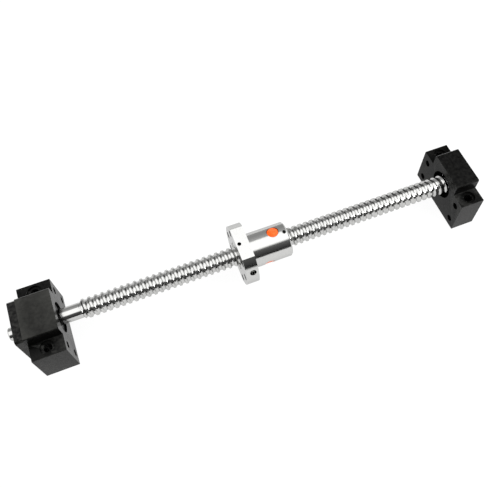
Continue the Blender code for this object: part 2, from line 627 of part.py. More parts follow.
def make_wipers(finishes):
    end = NUT_X + NUT_LENGTH
    inside = WIPER_BORE_RADIUS
    for name, start in (("left_wiper", NUT_X + GAP), ("right_wiper", end - GAP - WIPER_WIDTH + GAP)):
        ring(name, start, start + WIPER_WIDTH - GAP, inside, WIPER_RADIUS, finishes["wiper_plastic"])
    profile = [
        (0, 0), (0, WIPER_SCREW_RADIUS), (WIPER_SCREW_LENGTH, WIPER_SCREW_RADIUS), (WIPER_SCREW_LENGTH, 0),
    ]
    for side, x in zip(("left", "right"), wiper_screw_stations()):
        low = on_axis(x, WIPER_RADIUS + 2 * GAP, NUT_ROLL)
        turn = (on_axis(x, FLANGE_RADIUS, NUT_ROLL) - low).to_track_quat("X", "Z").to_matrix()
        lathe(f"{side}_wiper_set_screw", profile, 10, closed=False, finish_material=finishes["black_oxide"],
              axis_origin=low, turn=turn)


def make_nut_balls(finishes):
    """Three circuits of one turn each, from the groove before a return insert to the groove after it."""
    for circuit, (x, angle) in enumerate(return_places(), start=1):
        def centre_at(number):
            share = (number + 1.5) / (BALLS_PER_CIRCUIT + 2)
            # a share of 0 is at the insert, half a lead before it
            return on_axis(x + LEAD * (share - 0.5), BALL_CENTRE_RADIUS, angle + 360 * share)

        ball_row(f"nut_ball_circuit_{circuit}", centre_at, BALLS_PER_CIRCUIT, SCREW_BALL_RADIUS, False,
                 finishes["bearing_steel"])


def build():
    for old in list(bpy.data.objects):
        bpy.data.objects.remove(old)
    finishes = make_materials()
    make_screw(finishes)
    make_snap_ring(finishes)
    make_fixed_housing(finishes)
    make_floating_housing(finishes)
    make_cover(finishes)
    make_cover_screws(finishes)
    make_fixed_bearings(finishes)
    make_floating_bearing(finishes)
    make_nut(finishes)
    make_returns(finishes)
    make_wipers(finishes)
    make_nut_balls(finishes)


build()
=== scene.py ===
"""Looks of the ball screw assembly: finer meshes, procedural finishes, a light tent and the camera."""

import math

import bmesh
import bpy
from mathutils import Matrix, Vector


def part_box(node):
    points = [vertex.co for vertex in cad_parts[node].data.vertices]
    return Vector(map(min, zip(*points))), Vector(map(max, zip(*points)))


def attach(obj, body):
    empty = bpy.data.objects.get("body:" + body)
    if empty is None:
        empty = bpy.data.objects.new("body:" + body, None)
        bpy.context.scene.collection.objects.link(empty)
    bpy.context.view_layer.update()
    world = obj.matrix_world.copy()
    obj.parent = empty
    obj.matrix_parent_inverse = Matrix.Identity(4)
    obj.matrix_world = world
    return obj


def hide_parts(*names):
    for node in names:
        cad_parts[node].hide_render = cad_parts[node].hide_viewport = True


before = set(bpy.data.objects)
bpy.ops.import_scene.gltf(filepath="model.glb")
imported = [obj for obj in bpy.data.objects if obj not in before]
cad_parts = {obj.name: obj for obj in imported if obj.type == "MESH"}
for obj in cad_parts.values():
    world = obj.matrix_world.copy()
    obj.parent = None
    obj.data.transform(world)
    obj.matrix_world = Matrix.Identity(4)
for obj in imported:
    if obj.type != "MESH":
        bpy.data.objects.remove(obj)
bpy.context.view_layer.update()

MM = 0.001
LEAD = 5.0 * MM
AXIS_HEIGHT = 25.0 * MM

# Screw, from the drive end
DRIVE_RADIUS = 5.0 * MM
FIXED_JOURNAL_RADIUS = 6.0 * MM
FIXED_JOURNAL_LENGTH = 39.0 * MM
THREAD_FROM_DRIVE_END = 54.0 * MM
THREAD_CHAMFER = 1.2 * MM
RELIEF_RADIUS = 5.85 * MM  # shallow grinding relief beside the thread
RELIEF_STEPS = (1.4 * MM, 1.2 * MM, 0.2 * MM)
FLOATING_JOURNAL_RADIUS = 5.0 * MM
FLOATING_JOURNAL_LENGTH = 15.5 * MM
SNAP_GROOVE_START = 13.5 * MM
SNAP_GROOVE_WIDTH = 1.3 * MM
SNAP_GROOVE_RADIUS = 4.75 * MM
JOURNAL_EDGE = 0.6 * MM

# Thread profile
CREST_RADIUS = 7.7 * MM
GROOVE_ARC_RADIUS = 1.68 * MM
GROOVE_CENTRE_RADIUS = 8.0 * MM
CREST_EDGE = 0.12 * MM
THREAD_STEPS = 48  # for each turn
GROOVE_POINTS = 9
THREAD_SHARP_ANGLE = 28  # degrees; steeper edges are shaded sharp

# Housings
BASE_WIDTH = 60.0 * MM
SHOULDER_HEIGHT = 32.5 * MM
CROWN_WIDTH = 34.0 * MM
CROWN_HEIGHT = 43.0 * MM
CROWN_EDGE = 0.9 * MM
HOLE_SPACING = 46.0 * MM
FRONT_HOLE_HEIGHTS = (7.0 * MM, 25.0 * MM)
FRONT_HOLE_RADIUS = 2.75 * MM
BOLT_HOLE_RADIUS = 3.3 * MM
COUNTERBORE_RADIUS = 5.4 * MM
COUNTERBORE_DEPTH = 1.5 * MM
FIXED_BORE_DEPTH = 21.1 * MM
FIXED_BORE_RADIUS = 14.0 * MM
FIXED_MOUTH_RADIUS = 12.0 * MM
FLOATING_MOUTH_DEPTH = 7.0 * MM
FLOATING_MOUTH_RADIUS = 11.6 * MM
FLOATING_BORE_RADIUS = 13.0 * MM
HOUSING_EDGE = 0.3 * MM

# Cover of the fixed support
COVER_CORNER = 1.5 * MM
COVER_GAP = 0.1 * MM  # to the housing
COVER_HOLE_RADIUS = 11.2 * MM
SPIGOT_RADIUS = 13.7 * MM
SPIGOT_INSIDE = 9.0 * MM  # before the hole is cut
SPIGOT_START = 2.0 * MM
COVER_SCREW_OFFSET = 13.4 * MM
COVER_THREAD_DEPTH = 8.0 * MM
SCREW_HOLE_RADIUS = 1.65 * MM
HEAD_POCKET_RADIUS = 2.95 * MM
HEAD_POCKET_DEPTH = 2.5 * MM
HEAD_RADIUS = 2.65 * MM
HEAD_HEIGHT = 2.3 * MM
SHANK_RADIUS = 1.35 * MM
SOCKET_RADIUS = 1.45 * MM
SOCKET_DEPTH = 1.4 * MM
SCREW_EDGE = 0.25 * MM

# Rings: node, name, body, slot, then inner radius, outer radius and edge in mm
RINGS = (
    ("outer_collar", "collar_outer", "screw", "bearing_steel", 6.15, 9.0, 0.3),
    ("inner_collar", "collar_inner", "screw", "black_oxide", 6.15, 9.0, 0.3),
    ("cover_dust_seal", "seal_cover", "supports", "black_rubber", 9.2, 10.9, 0.2),
    ("housing_dust_seal", "seal_housing", "supports", "black_rubber", 9.2, 11.7, 0.2),
    ("floating_bearing_left_shield", "shield_left", "supports", "bearing_steel", 7.7, 10.3, 0.08),
    ("floating_bearing_right_shield", "shield_right", "supports", "bearing_steel", 7.7, 10.3, 0.08),
    ("left_wiper", "wiper_left", "nut", "wiper_plastic", 7.95, 10.5, 0.25),
    ("right_wiper", "wiper_right", "nut", "wiper_plastic", 7.95, 10.5, 0.25),
)

# Bearings: name, bore radius and outer radius in mm
BEARINGS = (
    ("fixed_bearing_a", 6.12, 13.88), ("fixed_bearing_b", 6.12, 13.88), ("floating_bearing", 5.12, 12.88),
)
RACE_POINTS = 9
RACE_OFFSET = 1.6 * MM  # from the ball circle to a ring's shoulder
RACE_GROOVE_RADIUS = 2.2 * MM
RACE_EDGE = 0.3 * MM

# Nut
NUT_ROLL = 5.0  # degrees, as are the other angles here
NUT_BODY_RADIUS = 14.0 * MM
NUT_LAND_RADIUS = 8.15 * MM
NUT_END_CHAMFER = 1.0 * MM
NUT_EDGE = 0.3 * MM
FLANGE_RADIUS = 24.0 * MM
FLANGE_THICKNESS = 10.0 * MM
FLANGE_FLATS = 40.0 * MM
BOLT_CIRCLE_RADIUS = 19.0 * MM
FLANGE_HOLE_RADIUS = 2.75 * MM
FLANGE_HOLE_ANGLES = (45, 90, 135, 225, 270, 315)
FLANGE_ARC_STEPS = 36
TRACK_TURNS, TRACK_STEPS, TRACK_GROOVE_POINTS = 12, 24, 7
WIPER_POCKET_RADIUS = 10.8 * MM
WIPER_POCKET_DEPTH = 3.9 * MM
GREASE_HOLE_RADIUS = 2.6 * MM
GREASE_HOLE_ANGLE = 65.0
GREASE_HOLE_STATION = 5.6 * MM
GREASE_CHANNEL_RADIUS = 1.0 * MM
WIPER_SCREW_HOLE_RADIUS = 1.5 * MM
WIPER_SCREW_HOLE_FLOOR = 10.5 * MM
WIPER_SCREW_INSETS = (2.6 * MM, 2.8 * MM)  # from the flange face and from the nut's other end
WIPER_SCREW_FLOOR, WIPER_SCREW_TOP = 11.1 * MM, 12.9 * MM
WIPER_SCREW_RADIUS = 1.25 * MM
WIPER_SCREW_EDGE = 0.15 * MM
WIPER_SOCKET_RADIUS = 0.65 * MM
RETURN_COUNT = 3
RETURN_FLOOR, RETURN_TOP = 10.1 * MM, 13.3 * MM
RETURN_DISH_RIM, RETURN_DISH = 0.25 * MM, 0.35 * MM
RETURN_EDGE = 0.45 * MM
RETURN_RADIUS = 4.6 * MM
RETURN_HOLE_RADIUS = 4.8 * MM
RETURN_ROLL = -14.0
FIRST_RETURN_FROM_FLANGE = 30.8 * MM
RETURN_STEP = 5 / 3 * LEAD

CUT = 2.0 * MM  # how far a cutter runs past the material
SHARP_ANGLE = 30  # degrees; steeper edges are shaded sharp

# Finishes
EDGE_TINT = (0.72, 0.72, 0.72, 1.0)  # how bright bare steel is at a grazing view
OXIDE_DARK, OXIDE_LIGHT = (0.0012, 0.0012, 0.001), (0.003, 0.003, 0.0028)
WORN_DARK, WORN_LIGHT = (0.01, 0.01, 0.01), (0.05, 0.05, 0.047)
# Painted sheen: the lighter tone that the fixed support's crown top is painted in, for the light falling on
# it
CROWN_TOP_SHEEN_TONE = (0.06, 0.06, 0.055)
STEEL_TONE, BEARING_TONE = (0.57, 0.57, 0.56), (0.57, 0.57, 0.58)
STEEL_ROUGHNESS = 0.12

# Stage
FLOOR_HALF_SIDE = 30.0
FLOOR_DROP = 0.2 * MM
FLOOR_TONE, FLOOR_GLOW = 0.10, 0.93
# Degrees from overhead, towards the front where positive, and how bright the tent is there
TENT_PANELS = (
    (-90, 0.45), (-60, 0.4), (-29, 0.6), (-23, 1.8), (30, 1.8),
    (40, 0.12), (74, 0.06), (80, 0.01), (90, 0.01),
)
# A dark flag behind on the right: the span along X and the degrees over which it fades in, and the share of
# the tent's light that it leaves
FLAG_ACROSS, FLAG_BEHIND, FLAG_LEVEL = (0.2, 0.38), (-16, -24), 0.12
CAMERA_AZIMUTH, CAMERA_ELEVATION, CAMERA_ROLL = -21.10, 62.23, -0.61
CAMERA_PLACE = (108.5, -211.0, 430.8)  # in mm, from the fixed support's outer face
LENS_LENGTH, SENSOR_WIDTH = 43.61, 36.0
LENS_SHIFT_X, LENS_SHIFT_Y = -0.0506, 0.0301
NEAR_CLIP = 0.01


# ---- geometry helpers ----

def on_axis(x, radius, degrees):
    """The point at that radius from the screw's axis, with degrees counted from +Z towards -Y."""
    turn = math.radians(degrees)
    return Vector((x, -radius * math.sin(turn), AXIS_HEIGHT + radius * math.cos(turn)))


def new_piece(name, bm):
    bmesh.ops.remove_doubles(bm, verts=bm.verts, dist=1e-7)
    bmesh.ops.recalc_face_normals(bm, faces=bm.faces)
    mesh = bpy.data.meshes.new(name)
    bm.to_mesh(mesh)
    bm.free()
    mesh.shade_smooth()
    mesh.set_sharp_from_angle(angle=math.radians(SHARP_ANGLE))
    made = bpy.data.objects.new(name, mesh)
    bpy.context.scene.collection.objects.link(made)
    return made


def add_lathe(bm, profile, segments, closed, origin, turn):
    """Spins (x, radius) points about X, then turns the result by turn and moves it to origin."""
    rings = []
    for x, radius in profile:
        if radius < 1e-9:
            points = [Vector((x, 0.0, 0.0))]
        else:
            angles = [2 * math.pi * k / segments for k in range(segments)]
            points = [Vector((x, radius * math.cos(a), radius * math.sin(a))) for a in angles]
        rings.append([bm.verts.new(origin + turn @ point) for point in points])
    pairs = list(zip(rings, rings[1:]))
    if closed:
        pairs.append((rings[-1], rings[0]))
    for near, far in pairs:
        for k in range(segments):
            after = k + 1
            corners = (near[k % len(near)], near[after % len(near)], far[after % len(far)], far[k % len(far)])
            unique = list(dict.fromkeys(corners))
            if len(unique) > 2:
                bm.faces.new(unique)


def lathe(name, profile, segments=96, closed=True, origin=(0, 0, AXIS_HEIGHT), towards=(1, 0, 0)):
    bm = bmesh.new()
    turn = Vector(towards).to_track_quat("X", "Z").to_matrix()
    add_lathe(bm, profile, segments, closed, Vector(origin), turn)
    return new_piece(name, bm)


def ring_profile(x_start, x_end, inner, outer, edge):
    """Section of a ring with small chamfers on its four edges."""
    return [
        (x_start, inner + edge), (x_start + edge, inner), (x_end - edge, inner), (x_end, inner + edge),
        (x_end, outer - edge), (x_end - edge, outer), (x_start + edge, outer), (x_start, outer - edge),
    ]


def prism(name, outline, x_start, x_end):
    """Extrudes a (y, z) outline along X."""
    bm = bmesh.new()
    face = bm.faces.new([bm.verts.new((x_start, y, z)) for y, z in outline])
    grown = bmesh.ops.extrude_face_region(bm, geom=[face])
    moved = [v for v in grown["geom"] if isinstance(v, bmesh.types.BMVert)]
    bmesh.ops.translate(bm, verts=moved, vec=(x_end - x_start, 0, 0))
    return new_piece(name, bm)


def rod(start, end, radius, segments=48):
    start, end = Vector(start), Vector(end)
    profile = [(0, 0), (0, radius), ((end - start).length, radius), ((end - start).length, 0)]
    return lathe("cutter", profile, segments, closed=False, origin=start, towards=end - start)


def combine(target, operation, *others):
    """Applies Booleans one by one and removes the cutters."""
    for other in others:
        step = target.modifiers.new("combine", "BOOLEAN")
        step.operation = operation
        step.solver = "MANIFOLD"
        step.object = other
        apply_modifiers(target)
        bpy.data.objects.remove(other)


def apply_modifiers(target):
    shape = target.evaluated_get(bpy.context.evaluated_depsgraph_get())
    mesh = bpy.data.meshes.new_from_object(shape)
    target.modifiers.clear()
    target.data = mesh


def soften_edges(target, width):
    """Rounds the sharp edges, so that they catch the light."""
    target.data.shade_smooth()
    bevel = target.modifiers.new("soft_edges", "BEVEL")
    bevel.width = width
    bevel.segments = 2
    bevel.limit_method = "ANGLE"
    bevel.angle_limit = math.radians(35)
    bevel.harden_normals = True
    bevel.use_clamp_overlap = True


def helical_solid(name, profile, x_start, turns, steps_per_turn):
    """A right-hand helical solid. profile is one lead of (x, radius) points, starting at x_start on +Y."""
    rows = []
    bm = bmesh.new()
    steps = turns * steps_per_turn
    for k in range(steps + 1):
        angle = 2 * math.pi * k / steps_per_turn
        shift = x_start + LEAD * k / steps_per_turn
        across, up = math.cos(angle), math.sin(angle)
        rows.append([bm.verts.new((shift + x, r * across, AXIS_HEIGHT + r * up)) for x, r in profile])
    first_x, first_radius = profile[0]
    tail = []
    for k in range(steps - steps_per_turn + 1, steps + 1):
        angle = 2 * math.pi * k / steps_per_turn
        tail.append(bm.verts.new((
            x_start + LEAD * (k / steps_per_turn + 1) + first_x,
            first_radius * math.cos(angle),
            AXIS_HEIGHT + first_radius * math.sin(angle),
        )))

    def closing(k):
        later = k + steps_per_turn
        return rows[later][0] if later <= steps else tail[later - steps - 1]

    for k in range(steps):
        near, far = rows[k] + [closing(k)], rows[k + 1] + [closing(k + 1)]
        for p in range(len(profile)):
            bm.faces.new([near[p], near[p + 1], far[p + 1], far[p]])
    first_loop = [rows[k][0] for k in range(steps_per_turn + 1)] + rows[0][:0:-1]
    last_loop = [closing(k) for k in range(steps - steps_per_turn, steps + 1)] + rows[-1][:0:-1]
    for loop, x in ((first_loop, x_start), (last_loop, x_start + LEAD * (turns + 1))):
        centre = bm.verts.new((x, 0, AXIS_HEIGHT))
        for k in range(len(loop)):
            bm.faces.new([centre, loop[k], loop[(k + 1) % len(loop)]])
    return new_piece(name, bm)


def dress(piece, node, body, material):
    """piece stands for the CAD node of that name, rides on its body and takes its finish."""
    piece.data.materials.clear()
    piece.data.materials.append(material)
    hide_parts(node)
    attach(piece, body)


# ---- materials ----

class Finish:
    """A Principled material with object-space texture nodes."""

    def __init__(self, name, metallic, roughness, **sockets):
        self.material = bpy.data.materials.new(name)
        self.material.use_nodes = True
        self.tree = self.material.node_tree
        self.shader = self.tree.nodes["Principled BSDF"]
        self.shader.inputs["Metallic"].default_value = metallic
        self.shader.inputs["Roughness"].default_value = roughness
        for socket, value in sockets.items():
            self.shader.inputs[socket.replace("_", " ")].default_value = value
        self.place = self.tree.nodes.new("ShaderNodeTexCoord")

    def link(self, out, into):
        self.tree.links.new(out, into)

    def noise(self, scale, stretch=(1, 1, 1), detail=3.0):
        mapping = self.tree.nodes.new("ShaderNodeMapping")
        mapping.inputs["Scale"].default_value = stretch
        noise = self.tree.nodes.new("ShaderNodeTexNoise")
        noise.inputs["Scale"].default_value = scale
        noise.inputs["Detail"].default_value = detail
        self.link(self.place.outputs["Object"], mapping.inputs["Vector"])
        self.link(mapping.outputs["Vector"], noise.inputs["Vector"])
        return noise.outputs["Fac"]

    def spread(self, value, low, high, start=0.3, end=0.7):
        """Maps start..end of a value to low..high."""
        node = self.tree.nodes.new("ShaderNodeMapRange")
        for socket, number in (("From Min", start), ("From Max", end), ("To Min", low), ("To Max", high)):
            node.inputs[socket].default_value = number
        self.link(value, node.inputs["Value"])
        return node.outputs["Result"]

    def ramp(self, value, *stops):
        node = self.tree.nodes.new("ShaderNodeValToRGB")
        colours = node.color_ramp.elements
        while len(colours) < len(stops):
            colours.new(0.5)
        for stop, (position, colour) in zip(colours, stops):
            stop.position = position
            stop.color = (*colour, 1.0)
        self.link(value, node.inputs["Fac"])
        return node.outputs["Color"]

    def mix(self, share, first, second):
        node = self.tree.nodes.new("ShaderNodeMix")
        node.data_type = "RGBA"
        self.link(share, node.inputs["Factor"])
        self.link(first, node.inputs[6])
        self.link(second, node.inputs[7])
        return node.outputs[2]

    def bump(self, height, strength, distance):
        node = self.tree.nodes.new("ShaderNodeBump")
        node.inputs["Strength"].default_value = strength
        node.inputs["Distance"].default_value = distance
        self.link(height, node.inputs["Height"])
        earlier = self.shader.inputs["Normal"].links
        if earlier:
            self.link(earlier[0].from_socket, node.inputs["Normal"])
        self.link(node.outputs["Normal"], self.shader.inputs["Normal"])

    def colour(self, out):
        self.link(out, self.shader.inputs["Base Color"])

    def roughness(self, out):
        self.link(out, self.shader.inputs["Roughness"])


def black_oxide(name, top):
    """Blackened milled steel: fine grain, faint oil film, edges worn lighter. top is the tone of a painted
    sheen on the crown's top face, laid on in patches.
    """
    finish = Finish(name, 0.0, 0.3, Specular_IOR_Level=0.08)
    film = finish.noise(45, detail=4)
    # Painted sheen: patches of the tone top, for the light on the crown's top face
    sheen_patches = finish.ramp(finish.noise(28, (1, 0.6, 1), 3), (0.38, tuple(0.3 * c for c in top)), (0.6, top))
    sides = finish.ramp(film, (0.3, OXIDE_DARK), (0.7, OXIDE_LIGHT))
    split = finish.tree.nodes.new("ShaderNodeSeparateXYZ")
    finish.link(finish.place.outputs["Object"], split.inputs["Vector"])
    # Painted sheen mask: from just under the crown's height up, the top face takes the painted sheen instead
    # of the oxide's own tone
    sheen_mask = finish.spread(split.outputs["Z"], 0.0, 1.0, CROWN_HEIGHT - 0.5 * MM, CROWN_HEIGHT - 0.2 * MM)
    tone = finish.mix(sheen_mask, sides, sheen_patches)
    worn = finish.ramp(finish.noise(400), (0.35, WORN_DARK), (0.65, WORN_LIGHT))
    edges = finish.tree.nodes.new("ShaderNodeNewGeometry").outputs["Pointiness"]
    finish.colour(finish.mix(finish.spread(edges, 0.0, 0.6, 0.53, 0.6), tone, worn))
    finish.roughness(finish.spread(film, 0.2, 0.34))
    finish.bump(finish.noise(2600, detail=2), 0.08, 0.00003)
    return finish.material


def turned_steel(name, tone, rough):
    """Polished steel with fine turning or grinding lines around the X axis and a faint oil stain."""
    finish = Finish(name, 1.0, rough, Specular_Tint=EDGE_TINT)
    lines = finish.noise(3000, (1, 0.03, 0.03), 2)
    stain = finish.noise(90, detail=3)
    finish.colour(finish.ramp(stain, (0.3, tuple(0.88 * c for c in tone)), (0.7, tone)))
    finish.roughness(finish.spread(lines, rough * 0.75, rough * 1.5))
    finish.bump(lines, 0.10, 0.00002)
    return finish.material


def ground_flange_steel():
    """The nut's steel: polished, with a faint ground speckle."""
    finish = Finish("nut_steel", 1.0, 0.14, Specular_Tint=EDGE_TINT)
    speckle = finish.noise(2400, detail=2)
    finish.colour(finish.ramp(speckle, (0.34, (0.52, 0.52, 0.51)), (0.5, (0.59, 0.59, 0.58))))
    finish.roughness(finish.spread(speckle, 0.19, 0.12))
    finish.bump(finish.noise(3000, (1, 0.04, 0.04), 2), 0.05, 0.00001)
    return finish.material


def orange_plastic():
    finish = Finish("orange_plastic", 0.0, 0.4, Coat_Weight=0.25, Coat_Roughness=0.2)
    cloud = finish.noise(300)
    finish.colour(finish.ramp(cloud, (0.3, (0.95, 0.11, 0.006)), (0.7, (1.0, 0.2, 0.025))))
    finish.roughness(finish.spread(cloud, 0.32, 0.48))
    finish.bump(finish.noise(2500), 0.15, 0.00003)
    return finish.material


def matte(name, dark, light, rough, grain):
    """Rubber and moulded plastic: an even tone with a fine grain."""
    finish = Finish(name, 0.0, rough)
    cloud = finish.noise(grain / 8)
    finish.colour(finish.ramp(cloud, (0.3, dark), (0.7, light)))
    finish.roughness(finish.spread(cloud, rough * 0.85, min(1.0, rough * 1.1)))
    finish.bump(finish.noise(grain), 0.2, 0.00003)
    return finish.material


def make_finishes():
    return {
        "black_oxide": black_oxide("black_oxide", OXIDE_LIGHT),
        # Oxide with a painted sheen on the crown's top face
        "oxide_crown_sheen": black_oxide("oxide_crown_sheen", CROWN_TOP_SHEEN_TONE),
        "ground_steel": turned_steel("ground_steel", STEEL_TONE, STEEL_ROUGHNESS),
        "nut_steel": ground_flange_steel(),
        "bearing_steel": turned_steel("bearing_steel", BEARING_TONE, STEEL_ROUGHNESS),
        "black_rubber": matte("black_rubber", (0.012, 0.012, 0.012), (0.03, 0.03, 0.03), 0.65, 3000),
        "orange_plastic": orange_plastic(),
        "wiper_plastic": matte("wiper_plastic", (0.55, 0.55, 0.53), (0.72, 0.72, 0.70), 0.5, 2500),
    }


# ---- screw ----

def groove_profile(land_radius, points):
    """One lead of the thread, of screw or nut: a flat land with rounded edges, then a round groove."""
    arc_radius, centre_radius, edge = GROOVE_ARC_RADIUS, GROOVE_CENTRE_RADIUS, CREST_EDGE
    inward = 1 if land_radius < centre_radius else -1
    reach = math.sqrt(arc_radius**2 - (centre_radius - land_radius)**2)
    half_land = LEAD / 2 - reach
    profile = [(-half_land + edge, land_radius), (half_land - edge, land_radius)]
    edge_angle = math.atan2(reach, inward * (centre_radius - land_radius))
    start = edge_angle - edge / arc_radius
    for k in range(points):
        at = start * (1 - 2 * k / (points - 1))
        radius = centre_radius - inward * arc_radius * math.cos(at)
        profile.append((LEAD / 2 - arc_radius * math.sin(at), radius))
    return profile


def land_before(x):
    """Where a land of the thread crosses +Y, next before x. The first return insert sits over a land."""
    first_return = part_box("nut_body")[0].x + FIRST_RETURN_FROM_FLANGE
    land = first_return - LEAD * (90 + NUT_ROLL + RETURN_ROLL) / 360
    return land - LEAD * math.ceil((land - x) / LEAD)


def make_screw(finishes):
    low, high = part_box("screw_shaft")
    thread_start, thread_end = low.x + THREAD_FROM_DRIVE_END, high.x - FLOATING_JOURNAL_LENGTH
    profile = groove_profile(CREST_RADIUS, GROOVE_POINTS)
    turns = math.ceil((thread_end - thread_start) / LEAD) + 3
    screw = helical_solid("screw", profile, land_before(thread_start - LEAD), turns, THREAD_STEPS)
    chamfered, full = CREST_RADIUS - THREAD_CHAMFER, CREST_RADIUS + CUT
    slope = full - chamfered
    trim = lathe("trim", [
        (thread_start, 0), (thread_start, chamfered), (thread_start + slope, full),
        (thread_end - slope, full), (thread_end, chamfered), (thread_end, 0),
    ], closed=False)
    step, edge = thread_start - FIXED_JOURNAL_LENGTH, JOURNAL_EDGE
    drive, fixed, floating = DRIVE_RADIUS, FIXED_JOURNAL_RADIUS, FLOATING_JOURNAL_RADIUS
    relief = [thread_start - back for back in RELIEF_STEPS]
    left = lathe("left_journal", [
        (low.x, 0), (low.x, drive - edge), (low.x + edge, drive), (step, drive),
        (step, fixed - edge), (step + edge, fixed), (relief[0], fixed),
        (relief[1], RELIEF_RADIUS), (relief[2], RELIEF_RADIUS), (thread_start, fixed),
        (thread_start + LEAD, fixed), (thread_start + LEAD, 0),
    ], closed=False)
    groove = thread_end + SNAP_GROOVE_START
    right = lathe("right_journal", [
        (thread_end - LEAD, 0), (thread_end - LEAD, floating),
        (groove, floating), (groove, SNAP_GROOVE_RADIUS),
        (groove + SNAP_GROOVE_WIDTH, SNAP_GROOVE_RADIUS), (groove + SNAP_GROOVE_WIDTH, floating),
        (high.x - edge / 2, floating), (high.x, floating - edge / 2), (high.x, 0),
    ], closed=False)
    combine(screw, "INTERSECT", trim)
    combine(screw, "UNION", left, right)
    screw.data.shade_smooth()
    screw.data.set_sharp_from_angle(angle=math.radians(THREAD_SHARP_ANGLE))
    dress(screw, "screw_shaft", "screw", finishes["ground_steel"])


# ---- supports ----

def housing_outline():
    """A wide base with shoulders and a narrower crown, in (y, z)."""
    base, crown, shoulder = BASE_WIDTH / 2, CROWN_WIDTH / 2, SHOULDER_HEIGHT
    half = [(base, 0), (base, shoulder), (crown, shoulder), (crown, CROWN_HEIGHT - CROWN_EDGE),
            (crown - CROWN_EDGE, CROWN_HEIGHT)]
    return half + [(-y, z) for y, z in reversed(half)]


def make_housing(node, bore):
    """A support block with its stepped bore, front holes and counterbored bolt holes."""
    low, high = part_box(node)
    block = prism(node.replace("support_", ""), housing_outline(), low.x, high.x)
    combine(block, "DIFFERENCE", lathe("bore", bore(low.x, high.x), closed=False))
    for y in (-HOLE_SPACING / 2, HOLE_SPACING / 2):
        middle = (low.x + high.x) / 2
        shoulder = (middle, y, SHOULDER_HEIGHT + CUT)
        combine(
            block, "DIFFERENCE",
            *[rod((low.x - CUT, y, z), (high.x + CUT, y, z), FRONT_HOLE_RADIUS) for z in FRONT_HOLE_HEIGHTS],
            rod((middle, y, -CUT), shoulder, BOLT_HOLE_RADIUS),
            rod((middle, y, SHOULDER_HEIGHT - COUNTERBORE_DEPTH), shoulder, COUNTERBORE_RADIUS),
        )
    return block


def make_supports(finishes):
    def fixed_bore(start, end):
        floor = start + FIXED_BORE_DEPTH
        return [(start - CUT, 0), (start - CUT, FIXED_BORE_RADIUS), (floor, FIXED_BORE_RADIUS),
                (floor, FIXED_MOUTH_RADIUS), (end + CUT, FIXED_MOUTH_RADIUS), (end + CUT, 0)]

    def floating_bore(start, end):
        floor = start + FLOATING_MOUTH_DEPTH
        return [(start - CUT, 0), (start - CUT, FLOATING_MOUTH_RADIUS), (floor, FLOATING_MOUTH_RADIUS),
                (floor, FLOATING_BORE_RADIUS), (end + CUT, FLOATING_BORE_RADIUS), (end + CUT, 0)]

    fixed = make_housing("fixed_support_housing", fixed_bore)
    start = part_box("fixed_support_housing")[0].x
    for y, z in cover_screw_places():
        combine(fixed, "DIFFERENCE", rod((start - CUT, y, z), (start + COVER_THREAD_DEPTH, y, z),
                                         SCREW_HOLE_RADIUS, 24))
    floating = make_housing("floating_support_housing", floating_bore)
    # The fixed support's block takes the oxide with a painted sheen on its crown top
    for block, node, finish in (
        (fixed, "fixed_support_housing", "oxide_crown_sheen"), (floating, "floating_support_housing", "black_oxide"),
    ):
        soften_edges(block, HOUSING_EDGE)
        dress(block, node, "supports", finishes[finish])


def cover_screw_places():
    offset = COVER_SCREW_OFFSET
    return [(a * offset, AXIS_HEIGHT + b * offset) for a in (-1, 1) for b in (-1, 1)]


def make_cover(finishes):
    low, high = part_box("fixed_support_cover")
    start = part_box("fixed_support_housing")[0].x
    half, corner = CROWN_WIDTH / 2, COVER_CORNER
    outline = []
    for a, b in ((1, -1), (1, 1), (-1, 1), (-1, -1)):
        ends = [(a * half, b * (half - corner)), (a * (half - corner), b * half)]
        outline += ends if a * b > 0 else ends[::-1]
    cover = prism("cover", [(y, z + AXIS_HEIGHT) for y, z in outline], low.x, start - COVER_GAP)
    spigot_start = low.x + SPIGOT_START
    spigot = lathe("spigot", [(spigot_start, SPIGOT_INSIDE), (spigot_start, SPIGOT_RADIUS),
                              (high.x, SPIGOT_RADIUS), (high.x, SPIGOT_INSIDE)])
    combine(cover, "UNION", spigot)
    combine(cover, "DIFFERENCE", rod((low.x - CUT, 0, AXIS_HEIGHT), (high.x + CUT, 0, AXIS_HEIGHT),
                                     COVER_HOLE_RADIUS, 96))
    for y, z in cover_screw_places():
        combine(cover, "DIFFERENCE",
                rod((low.x - CUT, y, z), (low.x + HEAD_POCKET_DEPTH, y, z), HEAD_POCKET_RADIUS),
                rod((low.x - CUT, y, z), (start + CUT, y, z), SCREW_HOLE_RADIUS, 24))
    soften_edges(cover, HOUSING_EDGE)
    dress(cover, "fixed_support_cover", "supports", finishes["black_oxide"])


def make_cover_screws(finishes):
    """Socket-head cap screws with a rounded head edge and a hexagonal socket."""
    for number, (y, z) in enumerate(cover_screw_places(), start=1):
        node = f"cover_screw_{number}"
        low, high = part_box(node)
        head, shank, edge = HEAD_RADIUS, SHANK_RADIUS, SCREW_EDGE
        seat = low.x + HEAD_HEIGHT
        screw = lathe(f"cap_screw_{number}", [
            (low.x, 0), (low.x, head - edge), (low.x + edge / 3, head - edge / 3), (low.x + edge, head),
            (seat, head), (seat, shank), (high.x - edge, shank), (high.x, shank - edge), (high.x, 0),
        ], 48, closed=False, origin=(0, y, z))
        combine(screw, "DIFFERENCE", rod((low.x - CUT, y, z), (low.x + SOCKET_DEPTH, y, z), SOCKET_RADIUS, 6))
        screw.data.shade_smooth()
        screw.data.set_sharp_from_angle(angle=math.radians(SHARP_ANGLE))
        dress(screw, node, "supports", finishes["black_oxide"])


# ---- rings ----

def make_rings(finishes):
    """Collars, seals, shields and wipers as finer rings in the space of their CAD nodes."""
    for node, name, body, slot, inner, outer, edge in RINGS:
        low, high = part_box(node)
        ring = lathe(name, ring_profile(low.x, high.x, inner * MM, outer * MM, edge * MM))
        dress(ring, node, body, finishes[slot])


